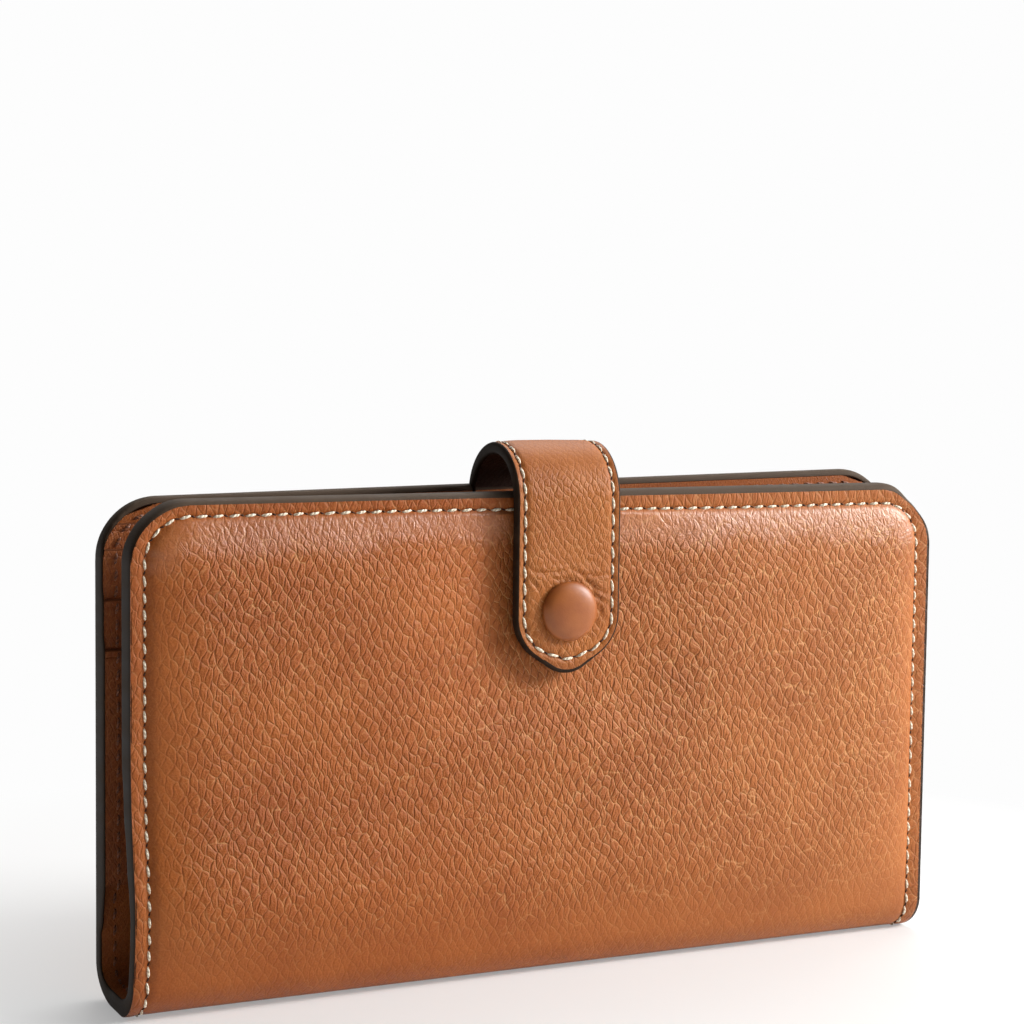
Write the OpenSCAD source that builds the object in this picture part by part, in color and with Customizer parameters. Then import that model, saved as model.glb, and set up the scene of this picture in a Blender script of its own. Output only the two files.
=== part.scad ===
// Long bifold wallet with a snap tab.
// It stands on its folded spine. X runs along the fold, -Y is the front, Z is up, and the
// origin is the middle of the flat strip that it stands on. All sizes are in millimetres.

/* [Wallet] */
// Length along the fold
wallet_length = 184; // [150:1:225]
// Height of the covers above the surface the spine stands on
wallet_height = 102; // [88:1:124]
// Thickness across the two stitched edges when closed
closed_thickness = 21; // [19:0.5:26]
// Radius of the two upper corners of each cover
corner_radius = 12; // [6:0.5:18]
// Outside radius of the leather at the two folds
fold_radius = 7.5; // [6.5:0.25:9]

/* [Cover layers] */
// Thickness of the outer leather
leather_t = 1.2; // [0.8:0.1:1.6]
// Thickness of the filler between the leather and the lining
filler_t = 1.4; // [1.4:0.1:1.9]
// Thickness of the lining
lining_t = 0.8; // [0.5:0.1:1.2]
// Rise of the padded face above its stitched edge
crown_rise = 1.2; // [0.8:0.1:1.6]
// Distance from the edge of a cover to its stitch line
stitch_inset = 3; // [2:0.25:5]

/* [Pockets] */
// Thickness of a pocket panel
panel_t = 0.7; // [0.4:0.1:0.9]
// Height of the pockets' lowest edge above the base
pocket_foot = 24; // [18:1:32]
// Distance from a cover's top edge down to the note pocket's edge
note_margin = 5; // [4:0.5:8]
// Step from one card slot's edge to the next
slot_step = 10; // [8:0.5:11]
// Distance from the first slot's edge to the note pocket's edge
note_step = 5; // [4:0.5:6]
// Width of the finger notch in the edge of a note pocket
notch_w = 40; // [20:1:60]
// Depth of that finger notch
notch_depth = 4; // [2:0.5:5]

/* [Tab] */
// Width of the tab
tab_width = 24; // [20:0.5:30]
// Thickness of the tab's outer leather
tab_leather_t = 1.2; // [0.9:0.1:1.3]
// Thickness of the tab's lining
tab_lining_t = 1.1; // [0.8:0.1:1.2]
// Distance from the covers' top edge down to the tip of the tab
tab_drop = 37.5; // [36:0.5:44]
// Gap between the tab and the padded face
tab_gap = 0.4; // [0.3:0.1:1]
// Length of the tab's end that is sewn into the back cover
tab_root_length = 12; // [8:1:20]
// Length of the tab's tapered end
tab_taper = 12; // [10:0.5:16]
// Radius of the rounded tip
tip_radius = 7; // [3:0.5:8]
// Distance from the covers' top edge down to the middle of the tab's arch
arch_sink = 2; // [0.5:0.25:3]

/* [Snap fastener] */
// Diameter of the leather-covered cap
cap_d = 12.5; // [11:0.25:14]
// Height of the cap above the tab
cap_h = 2.6; // [2.2:0.1:3.2]
// Thickness of the leather on the cap
cap_leather_t = 0.5; // [0.4:0.05:0.7]
// Distance from the covers' top edge down to the snap's axis
snap_drop = 24.5; // [20:0.5:25]
// Radius of the stud's head
stud_head_r = 2.1; // [1.8:0.05:2.3]
// Radial play of the head inside the socket
snap_play = 0.2; // [0.15:0.05:0.3]
// Radius of the dimple that the snap pulls into the padding
dimple_r = 7; // [6.5:0.25:9]

/* [Hidden] */
$fn = 96;

eps = 0.01;
half_t = closed_thickness / 2;
cover_t = leather_t + filler_t + lining_t;
// Each fold's round is centred fold_y off the middle plane, fold_radius above the base.
fold_y = half_t - fold_radius;
fold_split = 45;                                   // the cover takes this much of the round
seam_gap = 0.3;                                    // air beside a piece that is let in

// Tab: its arch is half a circle from the back cover's seam to the flap's front
tab_t = tab_leather_t + tab_lining_t;
flap_y = half_t + crown_rise + tab_gap;            // inner face of the flap
arch_r = (flap_y + tab_t + half_t - leather_t) / 2;
arch_y = half_t - leather_t - arch_r;
arch_z = wallet_height - arch_sink;
arch_split = 45;                                   // where the arch bends when it opens
shoulder_r = tab_width * 5 / 12;

// Snap, listed from the front cover outwards
snap_z = wallet_height - snap_drop;
stud_base_r = 4.8;
stud_base_t = 0.35;
stud_h = 1.75;                                     // head above its base
stud_neck_r = stud_head_r - 0.25;
post_r = 1.3;
post_flange_r = 4.5;
post_flange_t = 0.5;
socket_r = 5.2;
socket_mouth_r = 4.3;
socket_top_r = 3.7;
socket_flange_t = 0.4;
socket_inlet = 0.8;                                // how far it is let into the tab's lining
socket_air = 0.1;                                  // between its mouth and the stud's base
socket_bore_r = stud_head_r + snap_play;
spring_wire_r = 0.22;
spring_r = socket_bore_r + spring_wire_r - 0.02;
cap_rim = 0.8;                                     // straight rim below the cap's dome
cap_post_r = 1.6;

// Padding: the face rises in a quarter oval from the stitch line, as [inset, share of the rise]
crown_reach = 10;
crown_steps = [for (a = [0 : 18 : 90]) [crown_reach * (1 - cos(a)), sin(a)]];
crown_foot = fold_radius + 4.5;                    // clears the table when a cover lies open

leather_colour = [0.72, 0.43, 0.25];
dark_leather = [0.5, 0.27, 0.13];
lining_colour = [0.6, 0.36, 0.2];
foam_colour = [0.85, 0.82, 0.74];
metal_colour = [0.72, 0.6, 0.36];

// ---- frames -------------------------------------------------------------------------

// Extrudes an outline drawn as (Y, Z) along X.
module along_x(length) {
    rotate([90, 0, 90]) linear_extrude(length, center = true) children();
}

// Extrudes an outline drawn as (X, Z) from y0 to y1.
module through_y(y0, y1) {
    translate([0, y1, 0]) rotate([90, 0, 0]) linear_extrude(y1 - y0) children();
}

// Turns a round piece drawn along +Z so that it points out of the front, on the snap's axis.
module on_snap(y) {
    translate([0, -y, snap_z]) rotate([90, 0, 0]) children();
}

// ---- covers, drawn for the back and mirrored for the front ----------------------------

// Wedge of a turn from angle a0 to a1, for cutting rings.
module wedge(a0, a1, r) {
    polygon([[0, 0], for (a = [a0 : (a1 - a0) / 6 : a1 + eps]) 2 * r * [cos(a), sin(a)]]);
}

// Ring sector of the fold between depths d0 and d1 under the outer surface.
module fold_ring(d0, d1, a0, a1) {
    translate([fold_y, fold_radius]) intersection() {
        difference() {
            circle(fold_radius - d0);
            circle(fold_radius - d1);
        }
        wedge(a0, a1, fold_radius);
    }
}

// Section of one cover layer: the upright part and the cover's share of the fold.
module cover_section(d0, d1) {
    translate([half_t - d1, fold_radius - eps]) square([d1 - d0, wallet_height]);
    fold_ring(d0, d1, -fold_split, 0.2);
}

// Face of a cover with its rounded upper corners, drawn in by inset.
module cover_outline(inset = 0, foot = -1) {
    r = corner_radius - min(inset, corner_radius - 2);
    half = wallet_length / 2 - inset;
    top = wallet_height - inset;
    translate([-half, foot]) square([2 * half, top - r - foot]);
    translate([r - half, foot]) square([2 * (half - r), top - foot]);
    for (s = [-1, 1]) translate([s * (half - r), top - r]) circle(r);
}

module cover_layer(d0, d1) {
    intersection() {
        along_x(wallet_length) cover_section(d0, d1);
        through_y(-half_t, half_t) cover_outline();
    }
}

// Pillow that stands on the cover's outer face, inside the stitch line.
module crown() {
    hull() for (step = crown_steps) {
        y = half_t - (step[1] == 0 ? leather_t / 2 : 0) + crown_rise * step[1];
        through_y(y - eps, y)
            cover_outline(stitch_inset + step[0], crown_foot + step[0], $fn = 48);
    }
}

// Outer leather of a cover, hollow under the pillow except where a child keeps it solid.
module outer_leather() {
    difference() {
        union() {
            cover_layer(0, leather_t);
            crown();
        }
        difference() {
            translate([0, -leather_t, 0]) crown();
            children();
        }
    }
}

module padding() {
    cover_layer(leather_t, leather_t + filler_t);
    translate([0, -leather_t, 0]) crown();
}

// Flat pocket panel, the n-th one in from the lining, between two heights.
module pocket_panel(n, z0, z1) {
    y1 = half_t - cover_t - n * panel_t;
    through_y(y1 - panel_t, y1) intersection() {
        cover_outline();
        translate([-wallet_length / 2, z0]) square([wallet_length, z1 - z0]);
    }
}

// Row 1 is the deepest slot. The back's slots open upwards and the front's towards the fold.
function back_edge(row) = wallet_height - note_margin - note_step - (row - 1) * slot_step;
function front_edge(row) = pocket_foot + note_step + (row - 1) * slot_step;

// Round hole on the snap's axis from depth y outwards, drawn for the back.
module snap_hole(r, y) {
    translate([0, y, snap_z]) rotate([-90, 0, 0]) cylinder(r = r, h = 9);
}

// ---- spine ----------------------------------------------------------------------------

module spine_layer(d0, d1) {
    along_x(wallet_length) {
        for (s = [0, 1]) mirror([s, 0]) fold_ring(d0, d1, -90, -fold_split);
        translate([-fold_y - eps, d0]) square([2 * (fold_y + eps), d1 - d0]);
    }
}

module spine_leather() {
    color(leather_colour) spine_layer(0, leather_t);
}

module spine_filler() {
    color(foam_colour) spine_layer(leather_t, leather_t + filler_t);
}

module spine_lining() {
    color(lining_colour) spine_layer(leather_t + filler_t, cover_t);
}

// ---- front cover ------------------------------------------------------------------------

// The snap pulls the face in to the unpadded plane, and its post passes through the leather.
module front_leather() {
    color(leather_colour) mirror([0, 1, 0]) difference() {
        outer_leather() snap_hole(dimple_r + leather_t, half_t - leather_t);
        snap_hole(dimple_r, half_t);
        snap_hole(post_r + socket_air, half_t - 2 * leather_t);
    }
}

module front_padding() {
    color(foam_colour) mirror([0, 1, 0]) difference() {
        padding();
        snap_hole(dimple_r + leather_t, half_t - leather_t);
        snap_hole(post_flange_r + socket_air, half_t - leather_t - post_flange_t);
    }
}

module front_lining() {
    color(lining_colour) mirror([0, 1, 0]) cover_layer(leather_t + filler_t, cover_t);
}

// The wide slip pocket opens towards the fold, with a finger notch in its edge.
module front_slip_panel() {
    edge = pocket_foot;
    color(leather_colour) mirror([0, 1, 0]) difference() {
        pocket_panel(0, edge, wallet_height);
        finger_notch(edge);
    }
}

// Shallow round notch in a pocket's edge at height z.
module finger_notch(z) {
    r = (notch_w * notch_w / 4 + notch_depth * notch_depth) / (2 * notch_depth);
    up = z > wallet_height / 2 ? 1 : -1;
    through_y(0, half_t) translate([0, z + up * (r - notch_depth)]) circle(r, $fn = 180);
}

module front_slot_row(row) {
    color(dark_leather) mirror([0, 1, 0])
        pocket_panel(row, front_edge(row), wallet_height);
}

// Post: its flange sits under the leather and its tube is closed over inside the stud.
module snap_post() {
    color(metal_colour) on_snap(half_t - leather_t) {
        translate([0, 0, -post_flange_t]) cylinder(r = post_flange_r, h = post_flange_t);
        cylinder(r = post_r, h = leather_t + stud_base_t + stud_h / 2);
    }
}

// Stud: a flat base, a waisted neck that the spring closes on, and a rounded head.
module snap_stud() {
    bore = post_r + 0.02;
    neck_top = stud_base_t + stud_h * 0.45;
    top = stud_base_t + stud_h;
    color(metal_colour) on_snap(half_t) difference() {
        rotate_extrude() polygon([
            [0, 0], [stud_base_r, 0], [stud_base_r, stud_base_t * 0.6],
            [stud_base_r - 0.3, stud_base_t], [stud_neck_r, stud_base_t],
            [stud_neck_r, neck_top], [stud_head_r, neck_top + 0.25],
            [stud_head_r, top - 0.35], [stud_head_r - 0.35, top], [0, top]]);
        translate([0, 0, -eps]) cylinder(r = bore, h = stud_base_t + stud_h / 2 + 2 * eps);
    }
}

// ---- back cover ---------------------------------------------------------------------------

module back_leather() {
    color(leather_colour) outer_leather();
}

// The filler leaves a slot at the top for the tab's sewn end.
module back_padding() {
    slot_w = tab_width + 2 * seam_gap;
    slot_z = wallet_height - tab_root_length - seam_gap;
    color(foam_colour) difference() {
        padding();
        translate([-slot_w / 2, half_t - leather_t - filler_t - eps, slot_z])
            cube([slot_w, filler_t + eps, tab_root_length * 2]);
    }
}

module back_lining() {
    color(lining_colour) cover_layer(leather_t + filler_t, cover_t);
}

// The note pocket opens upwards, with a finger notch in its edge.
module back_note_panel() {
    edge = wallet_height - note_margin;
    color(leather_colour) difference() {
        pocket_panel(0, pocket_foot, edge);
        finger_notch(edge);
    }
}

module back_slot_row(row) {
    color(dark_leather) pocket_panel(row, pocket_foot, back_edge(row));
}

// ---- tab ------------------------------------------------------------------------------------

// Ring sector of the arch between depths d0 and d1 under the tab's outer face.
module arch_ring(d0, d1, a0, a1) {
    translate([arch_y, arch_z]) intersection() {
        difference() {
            circle(arch_r - d0);
            circle(arch_r - d1);
        }
        wedge(a0, a1, arch_r);
    }
}

module tab_root_leather() {
    color(leather_colour) along_x(tab_width) {
        arch_ring(0, tab_leather_t, 0, arch_split);
        translate([arch_y + arch_r - tab_leather_t, wallet_height - tab_root_length])
            square([tab_leather_t, tab_root_length - arch_sink + eps]);
    }
}

// The tab's lining stops just above the cover's edge.
module tab_root_lining() {
    color(dark_leather) along_x(tab_width) intersection() {
        arch_ring(tab_leather_t, tab_t, 0, arch_split);
        translate([0, wallet_height + seam_gap]) square(2 * arch_r);
    }
}

module tab_bridge(d0, d1) {
    along_x(tab_width) arch_ring(d0, d1, arch_split, 180 - arch_split);
}

module tab_bridge_leather() {
    color(leather_colour) tab_bridge(0, tab_leather_t);
}

module tab_bridge_lining() {
    color(dark_leather) tab_bridge(tab_leather_t, tab_t);
}

// Outline of the flap's face: straight sides, rounded shoulders and a rounded point.
module flap_outline() {
    tip = wallet_height - tab_drop;
    shoulder = tip + tab_taper;
    hull() {
        translate([0, tip + tip_radius]) circle(tip_radius, $fn = 48);
        for (s = [-1, 1]) translate([s * (tab_width / 2 - shoulder_r), shoulder])
            circle(shoulder_r, $fn = 48);
        translate([-tab_width / 2, shoulder]) square([tab_width, arch_z + arch_r - shoulder]);
    }
}

module tab_flap(d0, d1) {
    intersection() {
        along_x(tab_width) {
            arch_ring(d0, d1, 180 - arch_split, 180);
            translate([arch_y - arch_r + d0, 0]) square([d1 - d0, arch_z + eps]);
        }
        through_y(-flap_y - 2 * tab_t, 0) flap_outline();
    }
}

module tab_flap_leather() {
    color(leather_colour) difference() {
        tab_flap(0, tab_leather_t);
        on_snap(flap_y - eps) cylinder(r = cap_post_r + socket_air, h = 2 * tab_t);
    }
}

module tab_flap_lining() {
    color(dark_leather) difference() {
        tab_flap(tab_leather_t, tab_t);
        on_snap(flap_y - eps) cylinder(r = socket_top_r + socket_air, h = 2 * tab_t);
    }
}

// ---- cap and socket ---------------------------------------------------------------------------

// Domed button of radius r and height h with a short straight rim.
module domed_button(r, h) {
    dome = h - cap_rim;
    ball = (r * r + dome * dome) / (2 * dome);
    intersection() {
        cylinder(r = r, h = h);
        translate([0, 0, h - ball]) sphere(ball);
    }
}

// Metal shell under the cap's leather, with the post that goes through the tab.
module snap_cap_shell() {
    color(metal_colour) on_snap(flap_y + tab_t) {
        domed_button(cap_d / 2 - cap_leather_t, cap_h - cap_leather_t);
        translate([0, 0, socket_inlet - tab_t]) cylinder(r = cap_post_r, h = tab_t - socket_inlet + eps);
    }
}

module snap_cap_leather() {
    inner_r = cap_d / 2 - cap_leather_t;
    color(leather_colour) on_snap(flap_y + tab_t) difference() {
        domed_button(cap_d / 2, cap_h);
        domed_button(inner_r, cap_h - cap_leather_t);
        translate([0, 0, -eps]) cylinder(r = inner_r, h = 2 * eps);
    }
}

// Socket: a flange on the tab's lining, a cup let into it, and a bore with a spring groove.
module snap_socket() {
    mouth = half_t + stud_base_t + socket_air;
    depth = flap_y - mouth;
    top = depth + socket_inlet;
    bore_end = top - 0.2;
    groove_z = stud_h * 0.3;
    groove_h = 2 * spring_wire_r + 0.1;
    groove_r = spring_r + spring_wire_r + 0.06;
    color(metal_colour) on_snap(mouth) difference() {
        rotate_extrude() polygon([
            [0, 0], [socket_mouth_r - 0.4, 0], [socket_mouth_r, 0.4],
            [socket_mouth_r, depth - socket_flange_t], [socket_r, depth - socket_flange_t],
            [socket_r, depth], [socket_top_r, depth], [socket_top_r, top], [0, top]]);
        translate([0, 0, -eps]) cylinder(r = socket_bore_r, h = bore_end + eps);
        translate([0, 0, groove_z - groove_h / 2]) cylinder(r = groove_r, h = groove_h);
    }
}

// Round wire spring that sits in the socket's groove, round the stud's neck.
module snap_spring() {
    mouth = half_t + stud_base_t + socket_air;
    color("silver") on_snap(mouth + stud_h * 0.3)
        rotate_extrude() translate([spring_r, 0]) circle(spring_wire_r, $fn = 24);
}

spine_leather();
spine_filler();
spine_lining();
front_leather();
front_padding();
front_lining();
front_slip_panel();
front_slot_row(1);  // front_slot_row_1
front_slot_row(2);  // front_slot_row_2
front_slot_row(3);  // front_slot_row_3
snap_stud();
snap_post();
back_leather();
back_padding();
back_lining();
back_note_panel();
back_slot_row(1);  // back_slot_row_1
back_slot_row(2);  // back_slot_row_2
back_slot_row(3);  // back_slot_row_3
tab_root_leather();
tab_root_lining();
tab_bridge_leather();
tab_bridge_lining();
tab_flap_leather();
tab_flap_lining();
snap_cap_shell();
snap_cap_leather();
snap_socket();
snap_spring();
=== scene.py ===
# %% [markdown]
# # A long leather wallet
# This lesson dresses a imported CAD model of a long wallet. The CAD gives the bodies, their joints
# and every size; here each layer is remade the way the workshop makes it. Leather, lining and
# pockets are shaped **flat**, with their stitches and painted edges, and then one function folds
# the flat work round the spine. So a stitch is placed once, on the flat pattern, and it lands
# where it belongs on the finished wallet.

# %% Load the frame
import math

import bmesh
import bpy
import numpy as np
from mathutils import Matrix, Vector, geometry


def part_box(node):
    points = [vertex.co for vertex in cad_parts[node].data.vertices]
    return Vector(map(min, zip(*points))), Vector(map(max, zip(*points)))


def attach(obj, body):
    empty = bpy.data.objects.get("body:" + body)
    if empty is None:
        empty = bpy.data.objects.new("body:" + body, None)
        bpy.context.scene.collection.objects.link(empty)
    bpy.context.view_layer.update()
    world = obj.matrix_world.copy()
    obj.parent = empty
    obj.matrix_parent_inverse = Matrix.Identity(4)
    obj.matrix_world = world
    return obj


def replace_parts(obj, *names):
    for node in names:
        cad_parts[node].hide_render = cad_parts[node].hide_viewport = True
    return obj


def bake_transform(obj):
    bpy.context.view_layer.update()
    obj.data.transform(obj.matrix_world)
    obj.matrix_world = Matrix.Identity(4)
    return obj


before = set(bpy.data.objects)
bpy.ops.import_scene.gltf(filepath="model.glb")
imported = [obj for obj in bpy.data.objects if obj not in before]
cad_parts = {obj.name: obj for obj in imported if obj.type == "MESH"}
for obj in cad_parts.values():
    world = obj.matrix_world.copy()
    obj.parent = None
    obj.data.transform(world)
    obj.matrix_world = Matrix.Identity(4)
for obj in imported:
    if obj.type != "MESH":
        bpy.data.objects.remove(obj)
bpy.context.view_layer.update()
SCENE = bpy.context.scene
MM = 0.001

# %% [markdown]
# ## Sizes
# Every place comes from the boxes of the CAD nodes. Only the layers' thicknesses, which no box
# gives by itself, are written here, in metres.

# %% Sizes from the CAD nodes
def low(node):
    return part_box(node)[0]


def high(node):
    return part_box(node)[1]


HALF_LENGTH = high("front_lining").x  # half the wallet's length along the fold
TOP = high("front_lining").z  # height of the covers
FACE = -high("snap_stud").y  # the hide's plain face, off the middle plane
FOLD_R = (FACE - high("spine_leather").y) / (1 - math.cos(math.pi / 4))
FLAT = FACE - FOLD_R  # half the flat strip that the wallet stands on
HIDE_T = 1.2 * MM  # outer leather
LINING_IN = FACE - high("back_note_panel").y  # depth of the lining's inner face
LINING_OUT = FACE - high("back_lining").y
PANEL_T = high("back_note_panel").y - low("back_note_panel").y
CORNER_R = 12 * MM
BEND = FOLD_R * math.pi / 2  # length of leather in one fold
FOLDED = FLAT + BEND  # where the fold ends on the flat pattern
LENGTH_UP = FOLDED + TOP - FOLD_R  # pattern from the spine's middle to its top
FROM_Z = LENGTH_UP - TOP  # add to a height to get its place on the pattern

HALF_TAB = high("tab_flap_leather").x
ARCH_BACK = high("tab_root_leather").y
ARCH_R = (ARCH_BACK - low("tab_flap_leather").y) / 2
ARCH_Y = ARCH_BACK - ARCH_R
ARCH_Z = high("tab_bridge_leather").z - ARCH_R
TAB_T = ARCH_R - (low("tab_bridge_lining").z - ARCH_Z) / math.sin(math.pi / 4)
ROOT_Z = low("tab_root_leather").z
TIP_Z = low("tab_flap_leather").z
SNAP_Z = (low("snap_cap_leather").z + high("snap_cap_leather").z) / 2
ROOT = ARCH_Z - ROOT_Z  # straight length inside the back cover
ARCH = ARCH_R * math.pi
TAB_LENGTH = ROOT + ARCH + ARCH_Z - TIP_Z
print("pattern of one cover: %.1f x %.1f mm" % (2 * HALF_LENGTH / MM, LENGTH_UP / MM))
print("pattern of the tab: %.1f x %.1f mm" % (2 * HALF_TAB / MM, TAB_LENGTH / MM))

# %% [markdown]
# ## Folding the flat work
# On the flat pattern x runs along the fold, y runs up from the middle of the spine, and z points
# out of the leather. `fold_cover` bends that space round the spine. The front bellies out a
# little low down at its left end, where the covers don't lie tight, and the back cover sits a
# little askew, higher at one end, as a soft wallet does when it is snapped shut.

# %% The two maps from flat pattern to finished wallet
INSET = 3 * MM  # from the edge to the stitch line
BACK_AWAY = 1.0 * MM  # the back cover springs back a little
# the front's bulge low at its left end: its depth, its middle's height and its reach in mm
BELLY, BELLY_UP, BELLY_SIZE = 3.2 * MM, 28 * MM, 17


def smooth(x, a, b):
    """0 before a, 1 after b, and an even curve between."""
    t = np.clip((x - a) / (b - a), 0, 1)
    return t * t * (3 - 2 * t)


def hill(x, width):
    """A round hill that is 1 in the middle and about a third at its width, which is in mm."""
    return np.exp(-(x / (width * MM)) ** 2)


def fold_cover(p, side):
    """Flat points to places; side is -1 for the front cover and 1 for the back."""
    x, up, out = p[:, 0], p[:, 1], p[:, 2]
    above_fold = smooth(up, FLAT, FOLDED)
    if side < 0:
        belly = BELLY * smooth(-x, -10 * MM, HALF_LENGTH) * hill(up - BELLY_UP, BELLY_SIZE)
        out = out + belly * above_fold
        # the hem rolls over the top edge, most at the right, and spreads at the right end
        below = LENGTH_UP - up
        roll = (0.3 + 1.1 * smooth(x, -40 * MM, 50 * MM)) * MM
        up = up - roll * smooth(below, 0, 2.6 * MM) * (1 - smooth(below, 9 * MM, 30 * MM))
        x = x + 0.8 * MM * smooth(x, HALF_LENGTH - INSET, HALF_LENGTH) * above_fold
    else:
        x = -x
        up = up + (0.6 + 3.0 * x / (2 * HALF_LENGTH)) * MM * smooth(up, FOLDED, LENGTH_UP)
        x = x * (1 + 0.012 * above_fold) + 0.3 * MM * above_fold
        out = out + BACK_AWAY * above_fold
    turn = np.clip((up - FLAT) / FOLD_R, 0, math.pi / 2)
    flat = np.minimum(up, FLAT)
    rise = np.maximum(up - FLAT - BEND, 0)
    r = FOLD_R + out
    y = np.where(up < FLAT, flat, FLAT + r * np.sin(turn))
    z = np.where(up < FLAT, -out, FOLD_R - r * np.cos(turn) + rise)
    return np.stack([x, side * y, z], 1)


def arch_tab(p, side=0):
    """Flat points of the tab to places: up its root, over the arch and down the front."""
    x, along, out = p[:, 0], p[:, 1], p[:, 2]
    turn = np.clip((along - ROOT) / ARCH_R, 0, math.pi)
    before = np.minimum(along - ROOT, 0)
    after = np.maximum(along - ROOT - ARCH, 0)
    r = ARCH_R + out
    y = ARCH_Y + r * np.cos(turn) + BACK_AWAY * (1 - smooth(along, ROOT, ROOT + 0.6 * ARCH))
    return np.stack([-x, y, ARCH_Z + r * np.sin(turn) + before - after], 1)


print("top of the arch:", arch_tab(np.array([[0, ROOT + ARCH / 2, 0]])) / MM)

# %% [markdown]
# ## Outlines
# A cover and the tab are both convex shapes with one open end. An `Outline` knows, for any point
# of the flat pattern, how far inside the edge it lies and how far along the edge, which is all
# that a stitch line, a painted edge or a pucker needs.

# %% Outline of a flat piece
class Outline:
    """An open line of points round a convex flat piece, run so that the piece is on its right."""

    def __init__(self, points):
        points = np.array(points, float)
        size = np.linalg.norm(np.diff(points, axis=0), axis=1)
        self.p = points[np.r_[True, size > 1e-7]]
        step = np.diff(self.p, axis=0)
        self.size = np.linalg.norm(step, axis=1)
        self.t = step / self.size[:, None]
        self.n = np.stack([-self.t[:, 1], self.t[:, 0]], 1)
        self.a = np.r_[0, np.cumsum(self.size)]
        self.length = self.a[-1]

    def inside(self, q):
        """Distance of each flat point inside the edge, and how far along the edge it is."""
        best = np.full(len(q), 1e9)
        along = np.zeros(len(q))
        for k in range(len(self.size)):
            rel = q - self.p[k]
            d = -(rel @ self.n[k])
            nearer = d < best
            best[nearer] = d[nearer]
            along[nearer] = (self.a[k] + np.clip(rel @ self.t[k], 0, self.size[k]))[nearer]
        return best, along

    def at(self, a):
        """Points, directions and outward normals at the lengths a along the edge."""
        a = np.clip(a, 0, self.length)
        k = np.clip(np.searchsorted(self.a, a, side="right") - 1, 0, len(self.size) - 1)
        return self.p[k] + self.t[k] * (a - self.a[k])[:, None], self.t[k], self.n[k]


def cover_outline(inset=0.0, top_inset=None):
    """Up the left side, round the two upper corners and down the right side."""
    half, top = HALF_LENGTH - inset, LENGTH_UP - (inset if top_inset is None else top_inset)
    r = CORNER_R - inset
    turn = np.linspace(0, math.pi / 2, 25)
    left = np.stack([-half + r - r * np.cos(turn), top - r + r * np.sin(turn)], 1)
    right = left[::-1] * [-1, 1]
    return Outline(np.vstack([[[-half, 0]], left, right, [[half, 0]]]))


def tab_outline(inset=0.0, tip_inset=None):
    """Down the tab's left side, round its blunt point and back, as flat points."""
    tip_r, shoulder_r, taper = 7 * MM, 10 * MM, 12 * MM
    ring = np.linspace(0, 2 * math.pi, 97)[:-1]
    circle = np.stack([np.cos(ring), np.sin(ring)], 1)
    end = TAB_LENGTH - tip_r - ((tip_inset or inset) - inset)
    shoulder = TAB_LENGTH - taper
    dots = np.vstack([
        circle * (tip_r - inset) + [0, end],
        circle * (shoulder_r - inset) + [HALF_TAB - shoulder_r, shoulder],
        circle * (shoulder_r - inset) + [shoulder_r - HALF_TAB, shoulder],
        [[inset - HALF_TAB, 0], [HALF_TAB - inset, 0]]])
    hull = dots[geometry.convex_hull_2d([Vector(d) for d in dots])]
    hull = hull[np.argsort(np.arctan2(*(hull - hull.mean(0)).T))]  # clockwise from -y
    start = np.argmin(np.linalg.norm(hull - [inset - HALF_TAB, 0], axis=1))
    return Outline(np.roll(hull, -start, axis=0))


EDGE = cover_outline()
TAB_EDGE = tab_outline()
print("edge of a cover: %.0f mm, of the tab: %.0f mm" % (EDGE.length / MM, TAB_EDGE.length / MM))

# %% [markdown]
# ## Working flat
# Every layer is a slab: a strip of rows is extruded to its thickness, and then only the edges
# that run across its seen face are subdivided. That gives the seen face hundreds of columns, and
# leaves the hidden one with a few long faces. The vertices then go to their rows, and
# `finish_piece` bends the slab. The flat x and y, in metres, stay on the mesh as the UV map
# `hide`, so the grain follows the leather round every bend.

# %% Helpers for edit mode
def only(obj):
    """Makes one object the selected and the active one."""
    bpy.ops.object.select_all(action="DESELECT")
    obj.select_set(True)
    bpy.context.view_layer.objects.active = obj


def edit(obj, mode="FACE"):
    """Opens one object in edit mode with everything selected."""
    only(obj)
    bpy.ops.object.mode_set(mode="EDIT")
    bpy.ops.mesh.select_mode(type=mode)
    bpy.ops.mesh.select_all(action="SELECT")


def done():
    """Turns every normal outwards and leaves edit mode."""
    bpy.ops.mesh.select_all(action="SELECT")
    bpy.ops.mesh.normals_make_consistent(inside=False)
    bpy.ops.object.mode_set(mode="OBJECT")


def points(obj):
    co = np.zeros(len(obj.data.vertices) * 3, np.float32)
    obj.data.vertices.foreach_get("co", co)
    return co.reshape(-1, 3).astype(float)


def put(obj, p):
    obj.data.vertices.foreach_set("co", np.asarray(p, np.float32).ravel())
    obj.data.update()


def write_uv(obj, uv, name="hide"):
    """Keeps a flat position for every vertex as a UV map."""
    corner = np.zeros(len(obj.data.loops), np.int32)
    obj.data.loops.foreach_get("vertex_index", corner)
    layer = obj.data.uv_layers.new(name=name)
    layer.data.foreach_set("uv", np.asarray(uv, np.float32)[corner].ravel())


def new_object(name, data):
    obj = bpy.data.objects.new(name, data)
    SCENE.collection.objects.link(obj)
    return obj


def new_grid(name, across, along):
    """A grid of 2 x 2 m with no UV map."""
    bpy.ops.mesh.primitive_grid_add(x_subdivisions=across, y_subdivisions=along, size=2)
    obj = bpy.context.object
    obj.name = obj.data.name = name
    for layer in list(obj.data.uv_layers):
        obj.data.uv_layers.remove(layer)
    return obj


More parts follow.
